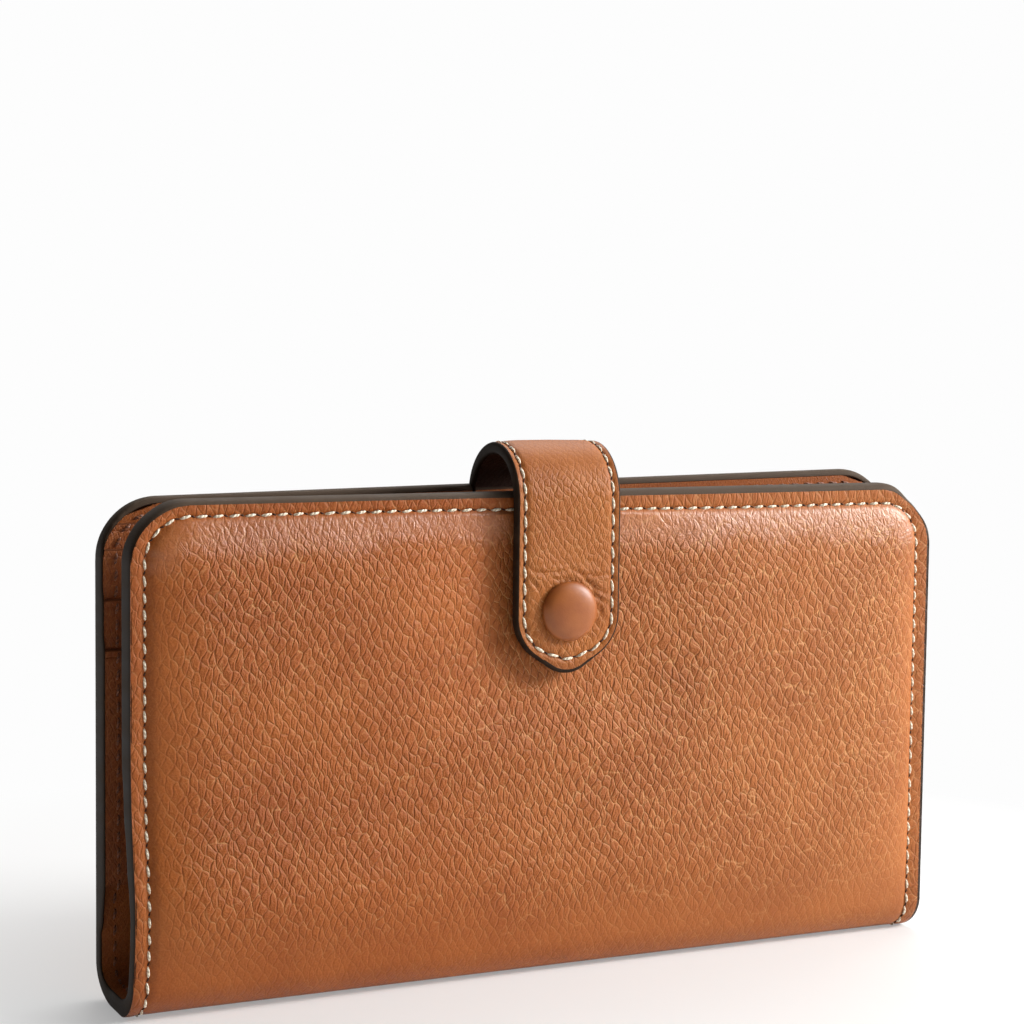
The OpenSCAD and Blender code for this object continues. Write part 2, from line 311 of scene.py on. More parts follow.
def flat_slab(name, rows, columns, wide, thickness, base=None, spread=lambda x: x):
    """Slab whose rows lie at the given heights, each with the half width that `wide` gives.

    The seen face is at z = 0 and the hidden one under it. With a base, the slab is turned over
    and its seen face lies that deep. `spread` says how the columns are spaced."""
    obj = new_grid(name, 1, len(rows) - 1)
    edit(obj)
    bpy.ops.mesh.extrude_region_move(TRANSFORM_OT_translate={"value": (0, 0, -1)})
    bpy.ops.mesh.select_mode(type="EDGE")
    bpy.ops.mesh.select_all(action="DESELECT")
    mesh = bmesh.from_edit_mesh(obj.data)
    for line in mesh.edges:
        a, b = (v.co for v in line.verts)
        if a.z > -0.5 and b.z > -0.5 and abs(a.x - b.x) > 1:
            line.select_set(True)
    bmesh.update_edit_mesh(obj.data)
    bpy.ops.mesh.subdivide(number_cuts=columns - 1)
    done()
    p = points(obj)
    row = np.asarray(rows)[np.rint((p[:, 1] + 1) / 2 * (len(rows) - 1)).astype(int)]
    z = p[:, 2] * thickness
    put(obj, np.stack([spread(p[:, 0]) * wide(row), row, z if base is None else -base - z], 1))
    return obj


def flat_tube(name, rings):
    """A closed bar through rings of points: a grid whose two sides are merged and ends filled."""
    along, around = rings.shape[0] - 1, rings.shape[1]
    obj = new_grid(name, around, along)
    p = points(obj)
    i = np.rint((p[:, 0] + 1) / 2 * around).astype(int) % around
    j = np.rint((p[:, 1] + 1) / 2 * along).astype(int)
    put(obj, rings[j, i])
    edit(obj, "VERT")
    bpy.ops.mesh.remove_doubles(threshold=1e-7)
    bpy.ops.mesh.select_all(action="SELECT")
    bpy.ops.mesh.fill_holes(sides=0)
    done()
    return obj


def shade(obj, degrees=35):
    only(obj)
    bpy.ops.object.shade_smooth_by_angle(angle=math.radians(degrees))


def soft_noise(x, y, size, seed):
    """Even noise from -1 to 1 with lumps of the given size in mm, the same on every run."""
    table = np.random.default_rng(seed).uniform(-1, 1, (512, 512))
    x, y = (np.asarray(v) / (size * MM) + 200 for v in (x, y))
    i, j = np.floor(x).astype(int), np.floor(y).astype(int)
    fx, fy = x - i, y - j
    fx, fy = fx * fx * (3 - 2 * fx), fy * fy * (3 - 2 * fy)
    corner = lambda di, dj: table[(i + di) % 512, (j + dj) % 512]
    a = corner(0, 0) * (1 - fx) + corner(1, 0) * fx
    b = corner(0, 1) * (1 - fx) + corner(1, 1) * fx
    return a * (1 - fy) + b * fy


# %% Where each finished piece goes and rides
SIDES = {-1: "front", 1: "back"}
MAP_STEP, MAP_AT = 0.4, 0.1  # metres: parts of the UV map lie one step apart


def on_map(q, k):
    """Moves a flat place k steps along the map, so that pieces don't show the same grain."""
    return q + [MAP_STEP * (k + 1) + MAP_AT, MAP_AT]


def at_fold(side):
    """A piece that goes round the fold stays where it is put, with no body."""
    return fold_cover, side, lambda obj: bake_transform(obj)


def in_cover(side):
    """A piece above the fold rides with its cover alone."""
    return fold_cover, side, lambda obj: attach(obj, SIDES[side] + "_cover")


def on_tab(half):
    """Both halves of the tab stay where they are put, with no body."""
    if half == "rear":
        return arch_tab, 2, lambda obj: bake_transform(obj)
    return arch_tab, 2, lambda obj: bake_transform(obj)


def finish_piece(obj, where, material=None):
    """Bends a flat piece into place, and gives it its material and, where it has one, its body."""
    place, side, ride = where
    p = points(obj)
    if "hide" not in obj.data.uv_layers:
        write_uv(obj, on_map(p[:, :2], side))
    put(obj, place(p, side))
    shade(obj)
    if material:
        obj.data.materials.append(material)
    ride(obj)
    return obj


# %% [markdown]
# ## Materials
# A wallet is mostly one tanned hide, so its finish is worth the most care. Tumbled cowhide is
# drum-dyed and milled until its grain swells into pebbles of 2 to 3 mm. The creases between them
# are painted pale on one lip, a painted highlight, and dark in their bottoms, a painted shade, and
# the film of finish is thin, so the gloss is soft and broken. Everything else is close to it:
# smooth calf on the cap, lining leather inside, edge paint in several coats, bonded polyester
# thread and lacquered brass.

# %% Node helpers
def colour(code):
    """sRGB hex to the linear colour that shaders use."""
    rgb = [int(code[k:k + 2], 16) / 255 for k in (1, 3, 5)]
    return [c / 12.92 if c < 0.04045 else ((c + 0.055) / 1.055) ** 2.4 for c in rgb] + [1.0]


def add(tree, kind, inputs=None, **settings):
    """Adds a node with its settings, and sets or links its inputs."""
    node = tree.nodes.new(kind)
    for key, value in settings.items():
        setattr(node, key, value)
    for key, value in (inputs or {}).items():
        if isinstance(value, Field):
            tree.links.new(value.socket, node.inputs[key])
        else:
            node.inputs[key].default_value = value
    return node


def field(tree, kind, inputs=None, output=0, **settings):
    """Adds a node and gives one of its outputs."""
    return Field(add(tree, kind, inputs, **settings).outputs[output])


class Field:
    """What comes out of a node. Arithmetic with fields adds Math or Vector Math nodes."""

    def __init__(self, socket):
        self.socket, self.tree = socket, socket.id_data

    def maths(self, operation, other=None, clamp=False, first=None):
        terms = [self] if other is None else [self, other]
        terms = dict(enumerate(terms if first is None else [first, self]))
        if self.socket.type == "VALUE":
            return field(self.tree, "ShaderNodeMath", terms, operation=operation, use_clamp=clamp)
        output = "Value" if operation in ("LENGTH", "DOT_PRODUCT") else 0
        return field(self.tree, "ShaderNodeVectorMath", terms, output, operation=operation)

    __add__ = lambda self, other: self.maths("ADD", other)
    __sub__ = lambda self, other: self.maths("SUBTRACT", other)
    __rsub__ = lambda self, other: self.maths("SUBTRACT", first=other)
    __mul__ = lambda self, other: self.maths("MULTIPLY", other)

    def axis(self, which):
        """One axis of a vector: 0, 1 or 2."""
        return field(self.tree, "ShaderNodeSeparateXYZ", {0: self}, which)


def map_range(value, low, high, start=0.0, end=1.0, **settings):
    """Start up to low and end from high, and even or smooth between them."""
    inputs = dict(enumerate((value, low, high, start, end)))
    return field(value.tree, "ShaderNodeMapRange", inputs, **settings)


def soft_step(value, low, high):
    """0 up to low, 1 from high, and an even curve between."""
    return map_range(value, low, high, interpolation_type="SMOOTHSTEP")


def noise(at, scale, detail=2.0, output=0, rough=0.5, space="2D"):
    inputs = {"Vector": at, "Scale": scale, "Detail": detail, "Roughness": rough}
    return field(at.tree, "ShaderNodeTexNoise", inputs, output, noise_dimensions=space)


def voronoi(at, size, feature="DISTANCE_TO_EDGE", loose=1.0):
    inputs = {"Vector": at, "Scale": 1 / size, "Randomness": loose}
    return add(at.tree, "ShaderNodeTexVoronoi", inputs, voronoi_dimensions="2D", feature=feature)


def ramp(factor, stops):
    """Colour ramp from (position, hex colour) pairs."""
    node = add(factor.tree, "ShaderNodeValToRGB", {"Fac": factor})
    row = node.color_ramp.elements
    while len(row) < len(stops):
        row.new(0.5)
    for element, (position, code) in zip(row, stops):
        element.position, element.color = position, colour(code)
    return Field(node.outputs["Color"])


def two_tones(factor, tones, low=0.3, high=0.7):
    return ramp(factor, [(low, tones[0]), (high, tones[1])])


def blend(factor, a, b):
    """Mixes two colours: sockets 6 and 7 of the Mix node take them, and output 2 gives one."""
    return field(factor.tree, "ShaderNodeMix", {0: factor, 6: a, 7: b}, 2, data_type="RGBA")


def flat_mm(tree, name="hide"):
    """The flat position in millimetres."""
    return field(tree, "ShaderNodeUVMap", uv_map=name) * (1000, 1000, 1000)


def from_middle(mm):
    """Millimetres to the right of the wallet's middle, on whichever part of the map."""
    half = MAP_STEP / 2 / MM
    return field(mm.tree, "ShaderNodeMath", {0: mm.axis(0) - MAP_AT / MM, 1: half, 2: -half},
                 operation="WRAP")


def spaced(settings):
    """Python names to socket names."""
    return {name.replace("_", " "): value for name, value in settings.items()}


def new_material(name, **shader):
    """A material with a Principled shader whose plain values are set on its own sockets."""
    material = bpy.data.materials.new(name)
    material.use_nodes = True
    tree = material.node_tree
    tree.nodes.clear()
    bsdf = add(tree, "ShaderNodeBsdfPrincipled", spaced(shader))
    add(tree, "ShaderNodeOutputMaterial", {"Surface": Field(bsdf.outputs["BSDF"])})
    return material, tree, bsdf


def wire(bsdf, strength, distance, relief, **fields):
    """Links a bump map, and the fields that vary over the surface, to the shader."""
    bump = {"Strength": strength, "Distance": distance, "Height": relief}
    fields["Normal"] = field(bsdf.id_data, "ShaderNodeBump", bump)
    for name, value in spaced(fields).items():
        bsdf.id_data.links.new(value.socket, bsdf.inputs[name])


# %% [markdown]
# ### Grain that the mesh and the material share
# Geometry nodes and shader nodes have the same noise and Voronoi nodes, so one function can write
# the grain into either tree. The mesh is lifted by it where a pebble swells, and the material
# draws the crease in the very same place. Close to a seam the pebbles give way to long folds that
# run in from the stitches; these are read from a second UV map, `seam`, which holds the distance
# along the seam and the distance inside it.

# %% Grain nodes
GRAIN_CELL = 2.3  # mm across one pebble
SLACK = 56  # mm from the middle where the end wrinkles begin
LEAN = 0.16  # radians that the pebbles lean to the right
LOOSE = 0.46  # how far the lattice of pebbles is shaken
GRAIN_DEPTH, TAB_GRAIN_DEPTH = 0.09 * MM, 0.05 * MM  # how high the pebbles stand


def grain(mm, seam_mm, gather, cell):
    """Height from 0 to about 1, distance from a crease and from a long one, pale side's share."""
    def turned(at, angle, scale):
        return field(at.tree, "ShaderNodeVectorRotate", {"Vector": at, "Angle": angle},
                     rotation_type="Z_AXIS") * (*scale, 0)

    def net(at, size):
        return Field(voronoi(at, size).outputs[0])

    # milling pulls the grain about, so the cells are stirred by a wide and a narrow noise
    wide = noise(mm, 1 / (10.0 * cell), output="Color") * (1.7 * cell, 1.7 * cell, 0)
    narrow = noise(mm, 1 / (1.5 * cell), 1.0, "Color") * (0.62 * cell, 0.62 * cell, 0)
    stirred = mm + wide + narrow
    # a lattice of tall diamonds, shaken out of line, with long creases across it
    lattice = turned(stirred * (1.0, 0.50, 0), math.pi / 4 - LEAN, (1, 1))
    large = Field(voronoi(lattice, 0.62 * cell, loose=LOOSE).outputs[0])
    body = voronoi(lattice, 0.62 * cell, "F1", LOOSE)
    small = net(lattice, 0.3 * cell)
    long = net(turned(stirred, 0.62, (0.52, 0.17)), cell)
    long = long.maths("MINIMUM", net(turned(stirred, -0.50, (0.52, 0.17)), cell))
    # towards the ends the skin is slack, and wrinkles run in from the seams
    tight = 1.0 - soft_step(from_middle(mm).maths("ABSOLUTE"), SLACK, SLACK + 16)
    long = long.maths("MINIMUM", net(turned(stirred, 0.12, (0.19, 0.60)), cell) + tight)
    # near a seam the skin is drawn into narrow folds that run away from it
    folds = net(seam_mm * (1, 0.5, 0) + noise(mm, 1 / 2.2, output="Color") * (1.5, 1.5, 0), 1.6)

    # creases that run up to the right are deep, and the material paints them dark as painted
    # shade; the ones across them are shallow, and it paints them pale as painted highlight
    across = (lattice - Field(body.outputs["Position"])).maths("ABSOLUTE")
    pale_side = soft_step(across.axis(1) - across.axis(0), -0.12 * cell, 0.12 * cell)
    from_crown = Field(body.outputs["Distance"])
    groove = soft_step(large, 0.0, 0.17) * map_range(pale_side, 0, 1, 0.60, 0.34)
    pebble = (1.0 - from_crown * from_crown) * 0.45 + groove
    drawn = soft_step(gather, 0.3, 0.8) * 0.5
    height = map_range(drawn, 0, 1, pebble, soft_step(folds, -0.10, 0.34) * 0.55)
    height = height + soft_step(long, 0.0, 0.06) * 0.10 + soft_step(small, 0.0, 0.3) * 0.10
    return height, map_range(drawn, 0, 1, large, folds + 0.02), long, pale_side


def set_flat_data(obj, q, seam=None, gather=0.0, grain_share=1.0, offset=0.0):
    """Writes the flat place, the seam place and the two shares that the grain reads."""
    write_uv(obj, on_map(q, offset))
    write_uv(obj, q if seam is None else seam, "seam")
    for name, value in (("gather", gather), ("grain", grain_share)):
        value = np.broadcast_to(np.asarray(value, np.float32), len(obj.data.vertices))
        layer = obj.data.attributes.new(name, "FLOAT", "POINT")
        layer.data.foreach_set("value", value.copy())


def swell(obj, cell, depth):
    """Lifts a flat mesh along z by the grain, with a geometry nodes modifier that is applied."""
    group = bpy.data.node_groups.new("swell", "GeometryNodeTree")
    for way in ("INPUT", "OUTPUT"):
        group.interface.new_socket("Geometry", in_out=way, socket_type="NodeSocketGeometry")

    def named(name, kind="FLOAT"):
        return field(group, "GeometryNodeInputNamedAttribute", {"Name": name}, "Attribute",
                     data_type=kind)

    hide, seam = (named(name, "FLOAT_VECTOR") * (1000, 1000, 1000) for name in ("hide", "seam"))
    height = grain(hide, seam, named("gather"), cell)[0]
    lift = field(group, "ShaderNodeCombineXYZ", {"Z": (height - 0.7) * depth * named("grain")})
    flat = field(group, "NodeGroupInput")
    moved = field(group, "GeometryNodeSetPosition", {"Geometry": flat, "Offset": lift})
    add(group, "NodeGroupOutput", {0: moved})
    only(obj)
    obj.modifiers.new("swell", "NODES").node_group = group
    bpy.ops.object.modifier_apply(modifier="swell")
    bpy.data.node_groups.remove(group)


# %% Pebbled leather
def pebbled_leather(name, tones, cell=GRAIN_CELL, lift=1.0):
    """Tumbled, drum-dyed cowhide: swollen pebbles, creases that catch light, broken gloss.

    The tones are three of the dye, then a pale one for painted highlight and painted sheen, and a
    dark one for painted shade."""
    material, tree, bsdf = new_material(name)
    lip, painted_shade_tone = colour(tones[3]), colour(tones[4])
    mm, seam = flat_mm(tree), flat_mm(tree, "seam")
    share, gather = (field(tree, "ShaderNodeAttribute", output="Fac", attribute_name=key)
                     for key in ("grain", "gather"))
    height, creases, crossings, pale_side = grain(mm, seam, gather, cell)
    pores = noise(mm, 2.4, 4.0, rough=0.65)
    relief = height + pores * 0.46
    # dye lies in soft clouds
    dye = ramp(noise(mm, 0.045, 3.0) * 0.4 + pores * 0.6,
               [(0.36, tones[0]), (0.5, tones[1]), (0.64, tones[2])])
    patch = noise(mm, 0.3)

    def line(edge, width, amount):
        """A share that is full on a crease and fades out within that part of a cell."""
        near = map_range(edge, 0.3 * width, width, 1.0, 0.0) * share
        return near.maths("MULTIPLY", amount, clamp=True)

    # painted sheen: the right-hand part of the hide and the band under the top seam are painted
    # paler, most of all at its creases, where the light falls as a broad sheen
    painted_sheen = map_range(from_middle(mm), -30.0, 70.0) + gather * 0.5
    dye = blend(painted_sheen * (0.15 * lift), dye, lip)
    # painted highlight on the lips of the shallow creases, stronger under the painted sheen;
    # partly pull-up of the dye where the skin stretches
    light = (pale_side * 0.8 + 0.2) * patch * ((painted_sheen + 1.5) * lift)
    # pale lines on the long wrinkles: painted sheen, partly random wear
    sheen_paling = patch * (1.6 * lift) - 0.66 * lift + painted_sheen * (0.5 * lift)
    # painted shade in the deep creases
    dye = blend(line(creases, 0.10, (1.0 - pale_side) * (0.75 * lift)), dye, painted_shade_tone)
    dye = blend(line(creases, 0.06, light), dye, lip)
    dye = blend(line(crossings, 0.025, sheen_paling), dye, lip)
    # painted shade: the hem is painted darker towards the painted edge
    rim = seam.axis(1)
    dye = blend(map_range(rim, -0.3, -1.5, 0.0, 0.28), dye, painted_shade_tone)
    # at the right-hand end the edge paint has run a little way onto the face
    run = map_range(rim + pores * 0.5, -1.95, -2.15).maths("MULTIPLY", painted_sheen * share, clamp=True)
    dye = blend(run.maths("MULTIPLY", 3.0, clamp=True), dye, colour("#3a2a20"))
    # drawn skin is tight and glossy; elsewhere the tops shine a little more than the creases
    wire(bsdf, share * (0.95 * lift), 0.00034, relief, Base_Color=dye,
         Roughness=map_range(relief, 0.3, 1.2, 0.58, 0.46) - gather * 0.10,
         Specular_IOR_Level=gather * 0.48 + 0.27)
    return material


PEBBLED = pebbled_leather("tumbled_cowhide",
                          ("#984e1e", "#a45823", "#b0632b", "#cf945d", "#7b3a16"))
TAB_CELL = 1.7  # mm; the tab is cut from a finer part of the hide
TAB_LEATHER = pebbled_leather(
    "tab_cowhide", ("#98521f", "#a55e26", "#b26a30", "#d09a63", "#7b3d18"), TAB_CELL, 0.58)
POCKET = pebbled_leather("pocket_cowhide", ("#80421f", "#8f4d26", "#9c592f", "#b06f41", "#5a2c15"),
                         1.7, 0.4)
LINING = pebbled_leather("lining_calf", ("#87461b", "#985120", "#a65c28", "#b87443", "#663212"),
                         1.2, 0.3)
TAB_LINING = pebbled_leather("tab_lining_leather",
                             ("#2b1a13", "#36221a", "#402a20", "#503729", "#1b100b"), 1.4, 0.35)
print("leathers:", PEBBLED.name, POCKET.name, LINING.name, TAB_LINING.name)


# %% Smooth leather, edge paint, thread and metal
def smooth_leather(name, tones):
    """Skived calf drawn tight over a snap cap: hardly any grain, a softer wider gloss."""
    material, tree, bsdf = new_material(name, Roughness=0.42, Specular_IOR_Level=0.55)
    place = field(tree, "ShaderNodeTexCoord", output="Object")
    cloud = noise(place, 260.0, 3.0, space="3D")
    wire(bsdf, 0.16, 0.0002, noise(place, 2600.0, 3.0, rough=0.6, space="3D"),
         Base_Color=two_tones(cloud, tones))
    return material


def edge_paint(name, tones, sheen_paling=None):
    """Water-based edge paint in three sanded coats; with a top tone, the top edges are painted
    paler, a painted highlight where the light falls on them.
    """
    material, tree, bsdf = new_material(name, Specular_IOR_Level=0.09)
    mm = flat_mm(tree)
    coat = noise(mm, 0.25, 4.0)
    dye = two_tones(coat, tones)
    # painted highlight: the paint grows paler towards the top edge
    if sheen_paling:
        top = (MAP_AT + LENGTH_UP) / MM
        dye = blend(map_range(mm.axis(1), top - 9, top - 1), dye, colour(sheen_paling))
    wire(bsdf, 0.3, 0.00012, noise(mm, 3.5, 3.0), Base_Color=dye,
         Roughness=map_range(coat, 0, 1, 0.5, 0.7))
    return material


def thread(name, tones):
    """Bonded three-ply polyester: round plies that wind along each stitch, with a soft shine."""
    material, tree, bsdf = new_material(name, Sheen_Weight=0.25)
    ply = field(tree, "ShaderNodeUVMap", uv_map="ply")
    wind = field(tree, "ShaderNodeTexWave",
                 {"Vector": ply, "Scale": 0.32, "Distortion": 0.6, "Detail": 1.0}, 1,
                 bands_direction="DIAGONAL")
    wire(bsdf, 0.7, 0.00012, wind, Base_Color=two_tones(wind, tones, 0.0, 0.45))
    return material


def lacquered_metal(name, tones, rough):
    """Turned and tumbled snap metal: fine rings from the lathe under thin lacquer."""
    material, tree, bsdf = new_material(name, Metallic=1.0, Roughness=rough)
    place = field(tree, "ShaderNodeTexCoord", output="Object")
    radius = ((place - (0, 0, SNAP_Z)) * (1, 0, 1)).maths("LENGTH")
    cloud = noise(place, 900.0, 3.0, space="3D")
    wire(bsdf, 0.12, 0.00004, (radius * 42000.0).maths("SINE"),
         Base_Color=two_tones(cloud, tones, 0.35, 0.65))
    return material


def painted_hole_shade(name, tones):
    """Painted shade in an awl's slit: a dark mark where the hole lies in shade."""
    material, tree, bsdf = new_material(name, Roughness=0.8)
    dye = two_tones(noise(flat_mm(tree), 2.0), tones)
    tree.links.new(dye.socket, bsdf.inputs["Base Color"])
    return material


CAP_LEATHER = smooth_leather("cap_calf", ("#98511e", "#aa6129"))
PAINT = edge_paint("dark_edge_paint", ("#2a1f17", "#3a2d23"))
COVER_PAINT = edge_paint("edge_paint_with_painted_top_highlight", ("#25190f", "#35271a"), sheen_paling="#55473b")
SLOT_PAINT = edge_paint("brown_edge_paint", ("#61341a", "#754327"))
CREAM = thread("cream_thread", ("#cdbb9c", "#f5ead3"))
BROWN = thread("brown_thread", ("#5d3018", "#84491f"))
BRASS = lacquered_metal("lacquered_brass", ("#b9924f", "#d0ab68"), 0.3)
SPRING = lacquered_metal("spring_steel", ("#9a9a98", "#b9b9b6"), 0.28)
# painted shade for the awl holes
HOLE_SHADE = painted_hole_shade("painted_hole_shade", ("#34190c", "#4a2814"))
print("materials:", len(bpy.data.materials))

# %% [markdown]
# ## The hide over the two covers
# One hide wraps the wallet, over a thin padding. It is sewn 3 mm inside its edge, so it swells
# from the seam into a low pillow. The thread pinches it at every stitch, and short gathers run in
# from the seam where the pillow is fullest. The pillow could be blown up by a cloth simulation,
# but the leather is stiff and held every 3.3 mm, so its surface is written as a height over the
# flat pattern instead: the same puckers then meet the same stitches. Each half runs from the
# middle of the spine to the top of its cover.

# %% Height of the hide above its plain face
RIM_TOP, RIM_SIDE = 1.15 * MM, 0.4 * MM  # how far the painted edge rolls onto the face
IN_TOP, IN_SIDE = 1.25 * MM, 0.35 * MM  # and onto the inside
UNDER_PAINT, UNDER_LIP = 0.2 * MM, 0.1 * MM  # how far the hide and the inside go in under it
PILLOW, PILLOW_REACH = 2.7, 18 * MM  # mm that the padding lifts the hide, and how far in
SEAM = cover_outline(INSET)
STITCH = 3.3 * MM  # from one stitch to the next
STITCHES = round(SEAM.length / STITCH)
PITCH = SEAM.length / STITCHES  # the same, so that a whole number fits
HIDE_STEP = 0.5 * MM  # from one row of the hide's grid to the next


def hole_share(along, pitch):
    """1 at each hole of a seam and 0 at the middle of each stitch."""
    return 0.5 + 0.5 * np.cos(2 * math.pi * along / pitch)


def hide_height(q, side):
    """How far the hide stands above its plain face at each flat point."""
    x, up = q[:, 0], q[:, 1]
    edge, along = SEAM.inside(q)  # distances inside the stitch line and along it
    full = smooth(up, FLAT + 0.5 * BEND, FOLDED + 16 * MM)
    share = np.clip(edge / PILLOW_REACH, 0, 1)
    pillow = (PILLOW * full - 0.10) * MM * (1 - (1 - share) ** 2) ** 0.62
    lumps = 0.06 * MM * soft_noise(x, up, 27, 1 + side)
    lumps += 0.02 * MM * soft_noise(x, up, 9, 5 + side)
    pillow += lumps * share * full
    if side < 0:
        # the tab lies on the front, and the snap pulls the face in and puckers it
        under = 1 - smooth(np.abs(x), 11 * MM, 40 * MM)
        under *= smooth(up, LENGTH_UP - 56 * MM, LENGTH_UP - 40 * MM)
        pillow = pillow * (1 - under) + np.minimum(pillow, 0.6 * MM) * under
        z = up - FROM_Z - SNAP_Z
        away = np.hypot(x, z)
        pillow *= smooth(away, 5.4 * MM, 11 * MM)
        pucker = soft_noise(np.arctan2(x, z) * 15 * MM, away / 5, 1.7, 15)
        pillow += 0.22 * MM * pucker * hill(away - 15.5 * MM, 3.2)
    # between the edge and the seam the leather is pressed into a low round
    border = 0.12 * MM * np.sin(math.pi * np.clip((INSET + edge) / INSET, 0, 1)) * (edge < 0)
    groove = -0.34 * MM * hill(edge, 0.62)
    hole = hole_share(along, PITCH)
    pinch = -0.13 * MM * hole * hill(edge, 0.9)
    # gathers: every stitch starts one, and they run together further in
    on_top = smooth(up, LENGTH_UP - 20 * MM, LENGTH_UP - 8 * MM)
    on_end = 1 - smooth(HALF_LENGTH - np.abs(x), 6 * MM, 22 * MM)
    strong = np.clip(on_top + 0.45 * on_end, 0, 1) * full * (edge > 0)
    near = np.exp(-edge / (2.4 * MM)) * (1 - np.exp(-edge / (0.5 * MM)))
    far = hill(edge, 7.5) * (1 - np.exp(-edge / (1.2 * MM)))
    runs = soft_noise(along, edge / 6, 1.5, 11 + side)
    runs += 0.6 * soft_noise(along, edge / 4, 3.4, 13 + side)
    ripple = -0.12 * MM * hole * near + 0.07 * MM * far * runs
    return pillow + border + groove + pinch + ripple * strong


def raise_leather(obj, thickness, height, seam, shares, offset, cell, depth):
    """Gives the seen face of a flat slab its height, and then its grain."""
    p = points(obj)
    seen = p[:, 2] > -0.5 * thickness
    p[seen, 2] = height(p[seen, :2])
    put(obj, p)
    edge, along = seam.inside(p[:, :2])
    bold, gather = shares(p[:, 0], p[:, 1], edge, along)
    bold = np.where(seen, bold, 0)
    set_flat_data(obj, p[:, :2], np.stack([along, edge], 1), gather, bold, offset)
    swell(obj, cell, depth)


def hide_shares(x, up, edge, along):
    """How bold the grain is, and how much of it gives way to gathers."""
    # milled grain is boldest on the pillow, and is pressed flat at the hem and over the fold
    bold = 0.45 + 0.55 * smooth(edge, 0, 7 * MM) * smooth(up, FOLDED, FOLDED + 12 * MM)
    bold *= 0.88 + 0.2 * soft_noise(x, up, 30, 21)
    bold *= 0.55 + 0.45 * smooth(up - FROM_Z, 6 * MM, 40 * MM)
    least = np.where(x > 0, 0.75, 0.40)  # at the right and left ends, seen from outside
    bold *= least + (1 - least) * smooth(HALF_LENGTH - np.abs(x), 4 * MM, 20 * MM)
    bold = np.maximum(bold, 0.5 * smooth(-edge, 0, 0.6 * MM))
    reach = 10 * MM + 3 * MM * soft_noise(along, along, 9, 23)
    gather = smooth(edge, 0, 0.8 * MM) * (1 - smooth(edge, 0.35 * reach, reach))
    return bold, gather * smooth(up, LENGTH_UP - 16 * MM, LENGTH_UP - 9 * MM)


def half_width(outline):
    """A function that gives the outline's half width at each height."""
    left = outline.p[:np.argmax(outline.p[:, 1]) + 1]
    return lambda up: np.interp(up, left[:, 1], -left[:, 0])


def cover_hide(side):
    """One half of the hide, from the middle of the spine to the top of its cover."""
    hem = cover_outline(RIM_SIDE - UNDER_PAINT, RIM_TOP - UNDER_PAINT)
    # the grid is twice as close within 6 mm of the edges, where the seam's groove is
    top, near, step = hem.p[:, 1].max(), 6 * MM, HIDE_STEP
    rows = np.r_[np.arange(0, top - near, step),
                 np.arange(top - near, top - 0.1 * step, 0.5 * step), top]
    columns = int((HALF_LENGTH - near) / step + 2 * near / step)
    even, close = (HALF_LENGTH - near) / step / columns, 1 - near / HALF_LENGTH
    spread = lambda x: np.sign(x) * np.interp(np.abs(x), [0, even, 1], [0, close, 1])
    name = SIDES[side]
    obj = flat_slab(name + "_hide", rows, 2 * columns, half_width(hem), HIDE_T, spread=spread)
    raise_leather(obj, HIDE_T, lambda q: hide_height(q, side), SEAM, hide_shares, side,
                  GRAIN_CELL, GRAIN_DEPTH)
    finish_piece(obj, at_fold(side), PEBBLED)
    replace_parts(obj, name + "_leather", name + "_padding", "spine_leather", "spine_filler")
    print(obj.name, len(obj.data.vertices), "vertices")


for side in SIDES:
    cover_hide(side)

# %% [markdown]
# ## Painted edges
# The cut edges of hide, lining and pockets are glued into one stack, sanded round and painted.
# The edge is a bar: a rounded profile carried along the outline. It is as thick as the stack is
# at that height, so it steps down where a pocket ends.

# %% Thickness of the stack at each height
POCKETS = {side: [first] + [SIDES[side] + "_slot_row_%d" % k for k in (1, 2, 3)]
           for side, first in ((-1, "front_slip_panel"), (1, "back_note_panel"))}
SANDED = 0.22  # slope to which the edge is sanded where a pocket panel ends


def inner_depth(node):
    """How deep under the plain face a panel's inner face lies."""
    return FACE - min(abs(low(node).y), abs(high(node).y))


def stack(up, side):
    """Depth of the innermost layer's inner face at each flat y."""
    depth = np.full(np.shape(up), LINING_IN)
    for node in POCKETS[side]:
        here = (up > low(node).z + FROM_Z) & (up < high(node).z + FROM_Z)
        depth = np.where(here, np.maximum(depth, inner_depth(node)), depth)
    return depth


def edge_rings(outline, lengths, depth, rim_out, rim_in):
    """Rings of a rounded edge bar; it rolls onto the face by rim_out and inside by rim_in."""
    point, _, normal = outline.at(lengths)
    turn = np.linspace(0, math.pi, 17)
    rim_out, rim_in = (np.broadcast_to(rim, len(lengths))[:, None] for rim in (rim_out, rim_in))
    # outwards from the outline: a full round, then a tail of two points under the leather
    rim = np.where(turn < math.pi / 2, rim_out, rim_in)
    tail = -np.concatenate([rim_in, rim_out], 1) - 0.25 * MM
    h = np.concatenate([rim * (np.sin(turn) ** 0.75 - 1), tail], 1)
    # through the stack: 1 is its face and -1 its inside, and a lip of paint stands on both
    k = np.r_[np.sign(np.cos(turn)) * np.abs(np.cos(turn)) ** 0.7, -0.8, 0.8]
    lip = 0.06 * MM
    z = -depth[:, None] / 2 + (depth[:, None] / 2 + lip) * k[None, :]
    xy = point[:, None, :] + normal[:, None, :] * h[:, :, None]
    return np.concatenate([xy, z[:, :, None]], 2)


